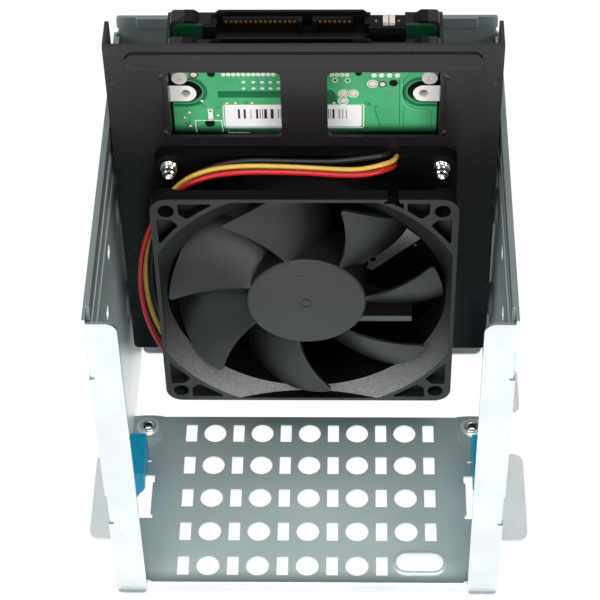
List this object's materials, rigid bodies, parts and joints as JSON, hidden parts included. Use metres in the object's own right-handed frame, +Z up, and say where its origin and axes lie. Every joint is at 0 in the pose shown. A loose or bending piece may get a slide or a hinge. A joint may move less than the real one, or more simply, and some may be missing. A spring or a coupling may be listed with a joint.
{
  "type": "drive mounting bracket",
  "caption": "Open sheet-steel drive cage with perforated base, sliding latches, and a black tray carrying small drives on end behind an axial fan.",
  "frame": {"origin": "on the floor under the middle of the cage's box", "axes": "+Z up, +Y to the rear wall, +X to the right seen from the open front"},
  "size_m": [0.124, 0.1068, 0.1405],
  "materials": {
    "zinc_steel": "galvanised sheet, satin",
    "nickel": "bright nickel plate",
    "blue_plastic": "moulded, semi gloss",
    "black_paint": "satin black powder coat",
    "charcoal_plastic": "moulded, fine texture",
    "dark_steel": "ground steel",
    "ferrite": "bonded magnet",
    "bronze": "sintered bronze",
    "lamination": "stacked laminations",
    "copper_wire": "enamelled winding",
    "green_board": "solder mask over tracks",
    "black_wire": "extruded insulation",
    "yellow_wire": "extruded insulation",
    "red_wire": "extruded insulation",
    "plug_plastic": "moulded",
    "casting": "die cast, black coated, lugs left bare",
    "drive_cover": "pressed stainless",
    "connector_plastic": "moulded",
    "gold": "gold flash",
    "label_paper": "plain white label"
  },
  "bodies": {
    "cage": {"left_side_wall": "zinc_steel", "right_side_wall": "zinc_steel", "rear_wall": "zinc_steel", "base_plate": "zinc_steel", "base_standoffs": "nickel", "drive_tray": "black_paint", "tray_screws": "nickel", "fan_frame": "charcoal_plastic", "bearing_sleeve": "bronze", "stator_core": "lamination", "stator_coils": "copper_wire", "fan_circuit_board": "green_board", "fan_screws": "nickel", "fan_wire_black": "black_wire", "fan_wire_yellow": "yellow_wire", "fan_wire_red": "red_wire", "fan_plug": "plug_plastic", "front_drive_label": "label_paper", "drive_screws": "nickel", "front_drive_casting": "casting", "front_drive_cover": "drive_cover", "front_drive_board": "green_board", "front_drive_board_screws": "nickel", "front_drive_connector": "connector_plastic", "front_drive_contacts": "gold", "rear_drive_casting": "casting", "rear_drive_cover": "drive_cover", "rear_drive_board": "green_board", "rear_drive_board_screws": "nickel", "rear_drive_connector": "connector_plastic", "rear_drive_contacts": "gold"},
    "rotor": {"fan_impeller": "charcoal_plastic", "rotor_yoke": "dark_steel", "rotor_magnet": "ferrite", "fan_shaft": "dark_steel", "shaft_clip": "dark_steel"},
    "left_latch": {"left_latch": "blue_plastic"},
    "right_latch": {"right_latch": "blue_plastic"}
  },
  "joints": [
    {"name": "fan_spin", "type": "hinge", "parent": "cage", "child": "rotor", "pos_m": [0, 0.00315, 0.066], "axis": [0, -1, 0], "continuous": true},
    {"name": "left_latch_slide", "type": "slide", "parent": "cage", "child": "left_latch", "axis": [0, -1, 0], "range_m": [0, 0.0084]},
    {"name": "right_latch_slide", "type": "slide", "parent": "cage", "child": "right_latch", "axis": [0, -1, 0], "range_m": [0, 0.0084]}
  ]
}
